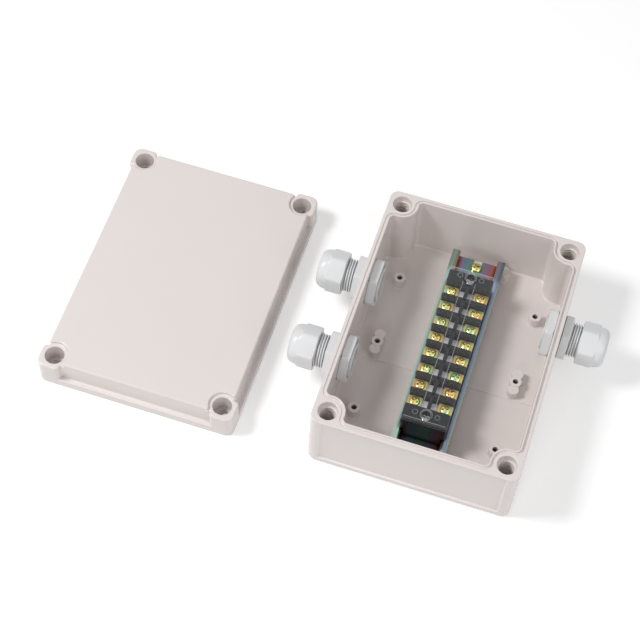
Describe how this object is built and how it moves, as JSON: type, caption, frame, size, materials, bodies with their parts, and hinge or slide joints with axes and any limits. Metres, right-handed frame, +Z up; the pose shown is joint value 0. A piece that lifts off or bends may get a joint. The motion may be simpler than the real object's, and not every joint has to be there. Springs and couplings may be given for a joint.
{
  "type": "waterproof junction box",
  "caption": "Open plastic junction box with a loose lid, cable glands, a mounting rail and a two-row screw terminal block under a clear cover.",
  "frame": {"origin": "centre of the base's underside, where the four wall screws leave it", "axes": "+X across the base towards its single gland, +Y along the base, +Z up out of the open top"},
  "size_m": [0.3328, 0.177, 0.0514],
  "materials": {
    "housing_plastic": "satin moulded ABS, warm light grey",
    "gland_nylon": "satin moulded nylon, cool light grey",
    "seal_rubber": "matt black sealing rubber",
    "bush_rubber": "matt black sealing rubber",
    "washer_rubber": "light grey sealing rubber",
    "passivated_steel": "zinc plated sheet steel, iridescent yellow passivation",
    "yellow_screws": "zinc plated steel, yellow passivation",
    "terminal_plastic": "glossy black phenolic moulding",
    "tinned_metal": "tin plated copper and nickel plated steel",
    "clear_cover": "clear moulded polycarbonate"
  },
  "bodies": {
    "box": {"base": "housing_plastic", "lid": "housing_plastic", "lid_seal": "seal_rubber", "mounting_rail": "passivated_steel", "rail_screws": "yellow_screws", "terminal_body": "terminal_plastic", "contact_straps": "tinned_metal", "wire_clamps": "yellow_screws", "terminal_screws": "yellow_screws", "terminal_mount_screws": "tinned_metal", "gland_1_body": "gland_nylon", "gland_1_washer": "washer_rubber", "gland_1_locknut": "gland_nylon", "gland_1_bush": "bush_rubber", "gland_2_body": "gland_nylon", "gland_2_washer": "washer_rubber", "gland_2_locknut": "gland_nylon", "gland_2_bush": "bush_rubber", "gland_3_body": "gland_nylon", "gland_3_washer": "washer_rubber", "gland_3_locknut": "gland_nylon", "gland_3_bush": "bush_rubber"},
    "dome_nut_1": {"gland_1_nut": "gland_nylon"},
    "dome_nut_2": {"gland_2_nut": "gland_nylon"},
    "dome_nut_3": {"gland_3_nut": "gland_nylon"},
    "clear_cover": {"terminal_cover": "clear_cover"}
  },
  "joints": [
    {"name": "gland_1_turn", "type": "hinge", "parent": "box", "child": "dome_nut_1", "pos_m": [-0.0761, 0.029, 0.03], "axis": [-1, 0, 0], "continuous": true},
    {"name": "gland_2_turn", "type": "hinge", "parent": "box", "child": "dome_nut_2", "pos_m": [-0.0761, -0.029, 0.03], "axis": [-1, 0, 0], "continuous": true},
    {"name": "gland_3_turn", "type": "hinge", "parent": "box", "child": "dome_nut_3", "pos_m": [0.0761, 0.029, 0.03], "axis": [1, 0, 0], "continuous": true},
    {"name": "cover_lift", "type": "slide", "parent": "box", "child": "clear_cover", "axis": [0, 0, 1], "range_m": [0, 0.03]}
  ]
}
